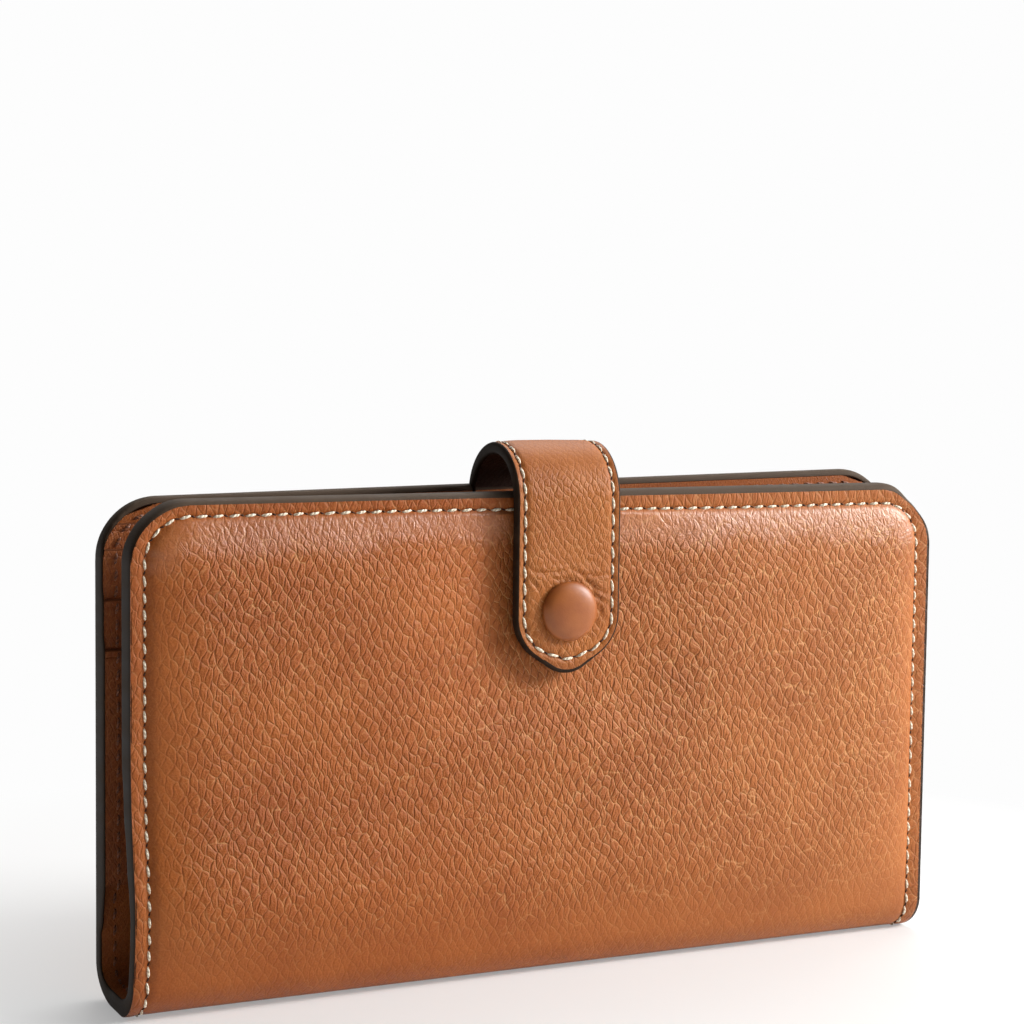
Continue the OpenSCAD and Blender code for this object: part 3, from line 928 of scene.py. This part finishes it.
def cover_edge(side):
    lengths = np.unique(np.r_[np.arange(0, EDGE.length, 1.2 * MM), EDGE.a, EDGE.length])
    place, _, normal = EDGE.at(lengths)
    soft = np.max([stack(place[:, 1] + s, side) - SANDED * abs(s)
                   for s in np.linspace(-9, 9, 37) * MM], axis=0)
    on_top = smooth(normal[:, 1], 0, 1)
    rings = edge_rings(EDGE, lengths, soft, RIM_SIDE + (RIM_TOP - RIM_SIDE) * on_top,
                       IN_SIDE + (IN_TOP - IN_SIDE) * on_top)
    # hand-sanded: never quite even
    rings[:, :, 2] += 0.04 * MM * soft_noise(lengths, lengths, 6, 31 + side)[:, None]
    obj = flat_tube(SIDES[side] + "_edge_paint", rings)
    return finish_piece(obj, at_fold(side), COVER_PAINT)


EDGES = {side: cover_edge(side) for side in SIDES}
print("edge bars:", [len(o.data.polygons) for o in EDGES.values()])

# %% [markdown]
# ## Stitches
# One stitch is modelled: a sphere of a few dozen faces, drawn out long and bent so that both its
# ends dive into the leather. It is copied along each seam, turned a little, because an awl cuts
# slanting holes. At each hole a second, flatter copy in a dark colour is painted shade: it stands
# for the shade in the awl's slit.

# %% One stitch, and a seam of them
THREAD_R, SLIT_R = 0.3 * MM, 0.18 * MM
SLANT, SLIT_SLANT = 0.13, 0.13 - 0.55  # radians to the seam
bpy.ops.mesh.primitive_uv_sphere_add(segments=8, ring_count=7, rotation=(0, math.pi / 2, 0))
bpy.ops.object.transform_apply(rotation=True)
ball = bpy.context.object
BALL = points(ball)
BALL_FACES = [tuple(face.vertices) for face in ball.data.polygons]
bpy.data.objects.remove(ball)


def copies(name, shapes, uv=None):
    """One mesh from many copies of the stitch, given as arrays of its moved points."""
    mesh = bpy.data.meshes.new(name)
    faces = [tuple(v + k * len(BALL) for v in face)
             for k in range(len(shapes)) for face in BALL_FACES]
    mesh.from_pydata(np.vstack(shapes).tolist(), [], faces)
    obj = new_object(name, mesh)
    if uv is not None:
        write_uv(obj, uv, "ply")
    return obj


def seam_shapes(centres, directions, ground, length, radius, slant, up):
    """Copies of the stitch, and their place on the thread; ground is the leather's height."""
    rng = np.random.default_rng(len(centres))
    a, b, c = BALL.T  # lengthwise, across and up
    turn = np.arctan2(c, b) / (2 * math.pi)
    shapes, plies = [], []
    for k, (centre, t) in enumerate(zip(centres, directions)):
        wobble = rng.uniform(-1, 1, 3)
        angle = slant + 0.05 * wobble[0]
        d = np.array([t[0] * math.cos(angle) - t[1] * math.sin(angle),
                      t[0] * math.sin(angle) + t[1] * math.cos(angle)])
        half = length / 2 * (1 + 0.04 * wobble[1])
        lengthwise = np.sign(a) * np.abs(a) ** 0.8 * half
        xy = centre + np.outer(lengthwise, d) + np.outer(b * radius, [-d[1], d[0]])
        z = ground[k] + up * (radius * 0.75 + c * radius - 1.15 * radius * np.abs(a) ** 2.2)
        shapes.append(np.column_stack([xy, z]))
        plies.append(np.column_stack([lengthwise / MM * 2.2 + k, turn * 3]))
    return shapes, np.vstack(plies)


def sew(name, outline, ground, where, yarn, pitch, span=None, length=2.35 * MM, up=1):
    """A row of stitches along an outline; on the outside a dark flat mark, painted shade, sits at
    every hole.
    """
    start, end = span or (0, outline.length)
    holes = np.linspace(start, end, round((end - start) / pitch) + 1)
    centres, directions, _ = outline.at((holes[1:] + holes[:-1]) / 2)
    shapes, plies = seam_shapes(centres, directions, ground(centres), length, THREAD_R, SLANT, up)
    finish_piece(copies(name, shapes, plies), where, yarn)
    if up > 0:
        # painted shade: a dark flat copy at every hole
        centres, directions, _ = outline.at(holes[1:-1])
        shapes, _ = seam_shapes(centres, directions, ground(centres) + 0.02 * MM,
                                1.0 * MM, SLIT_R, SLIT_SLANT, up)
        finish_piece(copies(name + "_hole_shade", shapes), where, HOLE_SHADE)


for side, name in SIDES.items():
    sew(name + "_thread", SEAM, lambda q: hide_height(q, side) + 0.10 * MM, at_fold(side), CREAM,
        PITCH)
print("stitches on each cover:", STITCHES, "of %.2f mm" % (PITCH / MM))

# %% [markdown]
# ## Lining and pockets
# The lining runs inside the covers and round the spine. On it lie four panels a side: a wide
# pocket and three rows of card slots. A card slot's edge is cut clean, painted, and creased with
# a hot iron 1.5 mm in. A seam up the middle parts the cards into two columns, and a card's width
# of panel between the seams bows a little, so every edge throws a fine shadow.

# %% Lining
INSIDE_WIDTH = half_width(cover_outline(IN_SIDE + UNDER_LIP, IN_TOP + UNDER_LIP))


def cover_lining(side):
    rows = np.r_[np.arange(0, FOLDED + 6 * MM, 0.5 * MM),
                 np.linspace(FOLDED + 6 * MM, LENGTH_UP - IN_TOP - UNDER_LIP, 40)]
    obj = flat_slab(SIDES[side] + "_lining_calf", rows, 150, INSIDE_WIDTH,
                    LINING_IN - LINING_OUT, base=LINING_IN)
    p = points(obj)
    x, up, z = p.T
    seen = z < -0.5 * (LINING_IN + LINING_OUT)
    in_fold = 1 - smooth(np.abs(up - FLAT - BEND / 2), 0.3 * BEND, 0.9 * BEND)
    wave = 0.10 * MM * soft_noise(x, up, 16, 41 + side)
    wave += 0.13 * MM * in_fold * soft_noise(x / 14, up, 1.7, 43 + side)
    z -= np.where(seen, np.abs(wave), 0) * smooth(EDGE.inside(p[:, :2])[0], IN_TOP, INSET)
    put(obj, p)
    set_flat_data(obj, p[:, :2], offset=side + 4)
    finish_piece(obj, at_fold(side), LINING)
    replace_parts(obj, SIDES[side] + "_lining", "spine_lining")


for side in SIDES:
    cover_lining(side)


# %% Pocket panels
PANEL_ROWS = [0, .08, .2, .35, .7, 1.1, 1.3, 1.42, 1.5, 1.58, 1.7, 1.9, 2.4, 3.2, 4.4, 6]  # mm
CREASE_IN = 1.5 * MM  # from a slot's edge to the ironed crease


def pocket(node, side):
    """A panel from its free edge to the seam; the front's open down and the back's open up."""
    free, away = (low(node).z, 1) if side < 0 else (high(node).z, -1)
    length = (high(node).z if side > 0 else TOP - IN_TOP - UNDER_LIP) - low(node).z
    rows = np.r_[np.array(PANEL_ROWS) * MM, np.linspace(9 * MM, length, 18)]
    obj = flat_slab(node + "_leather", rows, 160, lambda row: 1, PANEL_T)
    # the cut edge and its rounded lip are painted
    for material in (POCKET, SLOT_PAINT):
        obj.data.materials.append(material)
    for face in obj.data.polygons:
        face.material_index = int(face.center.y < 0.3 * MM)
    share, off, z = points(obj).T
    up = free + FROM_Z + away * off
    x = np.sign(share) * np.abs(share) ** 1.25 * INSIDE_WIDTH(up)
    if "slip" in node or "note" in node:
        notch = 4 * MM * np.sqrt(np.clip(1 - (x / (20 * MM)) ** 2, 0, 1)) ** 1.6
        up += away * notch * (1 - smooth(off, 4 * MM, 22 * MM))
    lip = 0.2 * MM * np.clip(1 - off / (0.35 * MM), 0, 1) ** 2
    crease = 0.13 * MM * hill(off - CREASE_IN, 0.16)
    bow = 0.30 * MM * np.abs(np.sin(math.pi * x / HALF_LENGTH)) * np.exp(-off / (7 * MM))
    middle = 0.16 * MM * hill(x, 0.8)
    wave = 0.06 * MM * soft_noise(x, up, 14, 50 + len(node))
    inner = inner_depth(node)
    depth = np.where(z > -0.5 * PANEL_T, inner - lip - crease - middle + bow + wave,
                     inner - PANEL_T + bow * 0.9)
    put(obj, np.stack([x, up, -depth], 1))
    set_flat_data(obj, np.stack([x, up], 1), offset=POCKETS[side].index(node) + 6)
    finish_piece(obj, in_cover(side))
    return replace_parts(obj, node)


PANELS = [pocket(node, side) for side in SIDES for node in POCKETS[side]]
print("pocket panels:", len(PANELS))


# %% Brown seams inside
def sew_inside(name, outline, where, pitch=STITCH):
    """Stitches on the innermost layer."""
    sew(name, outline, lambda q: -stack(q[:, 1], where[1]), where, BROWN, pitch, up=-1)


for side, name in SIDES.items():
    sew_inside(name + "_inner_thread", SEAM, at_fold(side), PITCH)
    first = low("front_slot_row_1").z if side < 0 else low("back_note_panel").z
    last = TOP - INSET if side < 0 else high("back_slot_row_1").z
    column = Outline([[0, first + FROM_Z + 1 * MM], [0, last + FROM_Z - 1 * MM]])
    sew_inside(name + "_column_thread", column, in_cover(side))
foot, end = low("back_note_panel").z + 2 * MM + FROM_Z, HALF_LENGTH - INSET - 1 * MM
sew_inside("back_foot_thread", Outline([[-end, foot], [end, foot]]), in_cover(1))

# %% [markdown]
# ## The tab
# The tab is sewn into the back cover's top seam, bends over both covers and snaps to the front.
# It is made like the covers, with its own outline, and it bends at two places, so it is made in
# two halves that meet at the top of its arch. Over the arch the leather is drawn tight and its
# grain nearly goes; above the cap it is creased where it has been lifted many times.

# %% Height of the tab's leather
TAB_INSET = 1.9 * MM
TAB_RIM = 0.75 * MM
TAB_SEAM = tab_outline(TAB_INSET, TAB_INSET + 1.2 * MM)
MID = ROOT + ARCH / 2
SNAP_ALONG = ROOT + ARCH + ARCH_Z - SNAP_Z
TAB_HIDE_T = low("tab_flap_lining").y - low("tab_flap_leather").y
TAB_STITCHES = round((TAB_SEAM.length - 2 * MID) / (3.5 * MM))
TAB_PITCH = (TAB_SEAM.length - 2 * MID) / TAB_STITCHES
# each crease: its two ends in mm to the right of and above the cap's middle, and its depth
CREASES = [
    (-9.6, 9.4, -1.0, 7.4, 0.24), (-8.6, 7.6, 0.5, 7.0, 0.15), (-0.5, 8.8, 9.8, 6.6, 0.26),
    (1.5, 7.3, 9.6, 3.2, 0.26), (5.6, 4.2, 9.8, -0.6, 0.20), (6.4, 1.6, 9.4, -2.6, 0.15),
    (-9.8, 6.6, -6.0, 4.6, 0.18), (-3.0, 10.4, 7.0, 9.6, 0.10), (-6.5, -3.0, -9.2, -5.4, 0.12),
    (-2.0, -6.8, -3.4, -9.2, 0.12), (2.2, -6.8, 3.2, -9.0, 0.10)]


def tab_height(q):
    x, along = q[:, 0], q[:, 1]
    edge, far = TAB_SEAM.inside(q)
    share = np.clip(edge / (4 * MM), 0, 1)
    height = 0.30 * MM * np.sqrt(1 - (1 - share) ** 2) * (edge > 0)
    height += 0.08 * MM * np.sin(math.pi * np.clip(1 + edge / TAB_INSET, 0, 1)) * (edge < 0)
    height -= 0.26 * MM * hill(edge, 0.5)
    height -= 0.08 * MM * hole_share(far - MID, TAB_PITCH) * hill(edge, 0.7)
    height += 0.07 * MM * soft_noise(x, along, 7, 61) * share
    # the cap sits in a shallow dish; the creases are short worn lines above and beside it
    from_cap = np.hypot(x, along - SNAP_ALONG)
    height -= 0.22 * MM * (1 - smooth(from_cap, 5.8 * MM, 8.6 * MM))
    for x0, z0, x1, z1, deep in CREASES:
        a, b = (np.array([-u, -v]) * MM + [0, SNAP_ALONG] for u, v in ((x0, z0), (x1, z1)))
        line = b - a
        t = np.clip(((q - a) @ line) / (line @ line), 0, 1)
        sway = 0.5 * MM * np.sin(t * 5 + z0)
        d = np.abs((q - a) @ np.array([-line[1], line[0]]) / np.linalg.norm(line) - sway)
        ends = np.hypot(*(q - a - t[:, None] * line).T) < 1.5 * MM
        fade = 1.3 * np.sin(math.pi * t) ** 0.5 * ends * MM
        height -= deep * hill(d, 0.38) * fade
        height += 0.45 * deep * hill(d - 0.9 * MM, 0.55) * fade
    return height


def tab_shares(x, up, edge, along):
    """The grain is faint over the arch, and the tab has no gathers."""
    arch = 1 - smooth(np.abs(up - ROOT - 0.56 * ARCH), 5 * MM, 15 * MM)
    return (1 - 0.75 * arch) * (0.6 + 0.3 * smooth(edge, 0, 3 * MM)), 0.0


# %% Leather, lining, edges and thread of each half
def tab_half(half):
    rear, where = half == "rear", on_tab(half)

    def rows(first, last, step):
        return np.linspace(first, last, round((last - first) / step))

    def runs(line, start):
        """The parts of an outline that this half has: both sides of the root, or the flap's."""
        if rear:
            return [(start, MID), (line.length - MID, line.length - start)]
        return [(MID, line.length - MID)]

    first, last = (0, MID) if rear else (MID, TAB_LENGTH - TAB_RIM + 0.05 * MM)
    obj = flat_slab("tab_%s_hide" % half, rows(first, last, 0.4 * MM), 62,
                    half_width(tab_outline(TAB_RIM - 0.15 * MM)), TAB_HIDE_T)
    raise_leather(obj, TAB_HIDE_T, tab_height, TAB_SEAM, tab_shares, 2, TAB_CELL, TAB_GRAIN_DEPTH)
    finish_piece(obj, where, TAB_LEATHER)

    first, last = (ROOT + 2.2 * MM, MID) if rear else (MID, TAB_LENGTH - TAB_RIM)
    back = flat_slab("tab_%s_lining" % half, rows(first, last, MM), 24,
                     half_width(tab_outline(TAB_RIM)), TAB_T - TAB_HIDE_T, base=TAB_T)
    set_flat_data(back, points(back)[:, :2], offset=3)
    finish_piece(back, where, TAB_LINING)

    for k, (a, b) in enumerate(runs(TAB_EDGE, ROOT - 3 * MM)):
        corners = TAB_EDGE.a[(TAB_EDGE.a > a) & (TAB_EDGE.a < b)]
        lengths = np.unique(np.r_[np.arange(a, b, 0.8 * MM), corners, b])
        rings = edge_rings(TAB_EDGE, lengths, np.full(len(lengths), TAB_T), TAB_RIM, TAB_RIM)
        finish_piece(flat_tube("tab_%s_edge_paint_%d" % (half, k + 1), rings), where, PAINT)
    for k, span in enumerate(runs(TAB_SEAM, ROOT + 2 * MM)):
        sew("tab_%s_thread_%d" % (half, k + 1), TAB_SEAM, lambda q: tab_height(q) + 0.08 * MM,
            where, CREAM, TAB_PITCH, span, 2.6 * MM)
    return obj, back


for half, body in (("rear", "root"), ("front", "flap")):
    hide, lining = tab_half(half)
    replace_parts(hide, "tab_%s_leather" % body, "tab_bridge_leather")
    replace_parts(lining, "tab_%s_lining" % body, "tab_bridge_lining")
print("tab stitches round the flap:", TAB_STITCHES)

# %% [markdown]
# ## The covered cap and the snap
# The cap is calf drawn over a metal shell and tucked under its rim. It starts as a filled circle
# that is extruded ring by ring, and each ring is resized, as one would by hand. The snap's metal
# parts are the CAD nodes themselves, in lacquered brass.

# %% Covered cap
CAP_R = high("snap_cap_leather").x
CAP_H = high("snap_cap_leather").y - low("snap_cap_leather").y
# shares of the cap's radius and height
CAP_RINGS = [(0.90, 0.0), (0.97, 0.08), (1.0, 0.18), (0.995, 0.30), (0.965, 0.43), (0.91, 0.56),
             (0.83, 0.68), (0.72, 0.79), (0.58, 0.88), (0.42, 0.945), (0.24, 0.985), (0.08, 1.0)]
bpy.ops.mesh.primitive_circle_add(vertices=72, radius=CAP_R * CAP_RINGS[0][0], fill_type="NGON")
cap = bpy.context.object
cap.name = cap.data.name = "cap_calf_cover"
edit(cap)
for (r0, h0), (r1, h1) in zip(CAP_RINGS, CAP_RINGS[1:]):
    rise = (0, 0, (h1 - h0) * CAP_H)
    bpy.ops.mesh.extrude_region_move(TRANSFORM_OT_translate={"value": rise})
    bpy.ops.transform.resize(value=(r1 / r0, r1 / r0, 1), center_override=(0, 0, h1 * CAP_H))
done()
p = points(cap)
turn = np.arctan2(p[:, 1], p[:, 0])
tuck = 1 - smooth(p[:, 2], 0.05 * CAP_H, 0.45 * CAP_H)
uneven = 0.006 * soft_noise(turn * 2, p[:, 2] * 900, 900, 71)
p[:, :2] *= (1 + 0.008 * tuck * np.sin(turn * 19) + uneven)[:, None]
put(cap, np.stack([p[:, 0], low("tab_flap_leather").y - p[:, 2], SNAP_Z + p[:, 1]], 1))
cap.modifiers.new("round", "SUBSURF").levels = 2
bpy.ops.object.modifier_apply(modifier="round")
shade(cap, 60)
cap.data.materials.append(CAP_LEATHER)
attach(cap, "tab_flap")
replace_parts(cap, "snap_cap_leather")
print("cap: %.1f mm across, %.1f mm high" % (2 * CAP_R / MM, CAP_H / MM))

# %% Metal parts of the snap
METAL = {"snap_stud": BRASS, "snap_post": BRASS, "snap_cap_shell": BRASS, "snap_socket": BRASS,
         "snap_spring": SPRING}
for node, metal in METAL.items():
    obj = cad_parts[node]
    obj.data.materials.clear()
    obj.data.materials.append(metal)
print("metal:", ", ".join(METAL))

# %% [markdown]
# ## Stage, light and camera
# A pale sweep of floor, a small strong lamp on the right with a wide one over it, which draw the
# bright band under the top seam, a weak one beside them for the front, and a soft one from above
# and behind. The floor looks white to the camera because it glows for camera rays, except close
# to the wallet, so that no extra light falls on the leather.

# %% Floor
def seen_by(tree, *rays):
    """1 for rays of the named kinds, and 0 for the others."""
    path = add(tree, "ShaderNodeLightPath").outputs
    share = Field(path["Is Camera Ray"])
    for ray in rays:
        share = share.maths("MAXIMUM", Field(path["Is %s Ray" % ray]))
    return share


def mixed_shaders(share, a, b):
    return field(share.tree, "ShaderNodeMixShader", {0: share, 1: a, 2: b})


bpy.ops.mesh.primitive_plane_add(size=30)
floor = bpy.context.object
floor.name = "floor"
material, tree, bsdf = new_material("pale_floor", Roughness=0.6, Base_Color=colour("#f4f3f1"))
glow = field(tree, "ShaderNodeEmission", {"Color": colour("#fdfdfd"), "Strength": 1.0})
away = field(tree, "ShaderNodeTexCoord", output="Object").maths("LENGTH")
share = seen_by(tree, "Glossy", "Transmission") * map_range(away, 0.09, 0.22, 0.32, 1.0)
mix = mixed_shaders(share, Field(bsdf.outputs[0]), glow)
tree.links.new(mix.socket, tree.nodes["Material Output"].inputs["Surface"])
floor.data.materials.append(material)

# %% World and lamps
world = bpy.data.worlds.new("studio")
SCENE.world = world
world.use_nodes = True
tree = world.node_tree
tree.nodes.clear()
way = field(tree, "ShaderNodeTexCoord", output="Generated")
level = map_range(way.maths("DOT_PRODUCT", (0.80, 0.50, 0.33)), -0.3, 1.0, 0.03, 0.60)
room = field(tree, "ShaderNodeBackground", {"Color": (1, 1, 1, 1), "Strength": level})
white = field(tree, "ShaderNodeBackground", {"Color": colour("#fdfdfd"), "Strength": 1.0})
mix = mixed_shaders(seen_by(tree, "Transmission"), room, white)
add(tree, "ShaderNodeOutputWorld", {"Surface": mix})


def softbox(name, place, height, size, watts):
    """A rectangular lamp that faces a point at that height over the wallet's middle."""
    lamp = bpy.data.lights.new(name, "AREA")
    lamp.shape, lamp.size, lamp.size_y, lamp.energy = "RECTANGLE", *size, watts
    obj = new_object(name, lamp)
    obj.location = place
    towards = Vector((0, 0, height)) - Vector(place)
    obj.rotation_euler = towards.to_track_quat("-Z", "Y").to_euler()


softbox("key_softbox", (0.74, -0.34, 0.42), 0.06, (0.24, 0.24), 9.1)
softbox("front_softbox", (0.80, -0.62, 0.30), 0.06, (0.40, 0.50), 0.6)
softbox("sheen_softbox", (0.56, -0.42, 0.70), 0.10, (0.45, 0.30), 2.3)
softbox("top_softbox", (0.34, 0.40, 0.76), 0.08, (0.7, 0.5), 3.4)
print("lamps:", ", ".join(lamp.name for lamp in bpy.data.lights))

# %% Camera
CAMERA_AT = (-0.2172, -0.4409, 0.1381)
YAW, PITCH_DOWN, ROLL = 25.56, 4.81, 0.71  # degrees to the right, down, and its right side up
camera = new_object("camera", bpy.data.cameras.new("camera"))
camera.location = CAMERA_AT
yaw, down, roll = (math.radians(v) for v in (YAW, PITCH_DOWN, ROLL))
ahead = Vector((math.sin(yaw) * math.cos(down), math.cos(yaw) * math.cos(down), -math.sin(down)))
right = Vector((math.cos(yaw), -math.sin(yaw), 0))
above = right.cross(ahead)
right, above = (right * math.cos(roll) + above * math.sin(roll),
                above * math.cos(roll) - right * math.sin(roll))
camera.rotation_euler = Matrix((right, above, -ahead)).transposed().to_euler()
camera.data.sensor_width = 36.0
camera.data.lens = 82.09
camera.data.clip_start, camera.data.clip_end = 0.01, 50
SCENE.camera = camera
SCENE.view_settings.view_transform = "Standard"
print("camera: %.1f mm lens, %.0f mm from the wallet's middle" %
      (camera.data.lens, (camera.location - Vector((0, 0, TOP / 2))).length / MM))
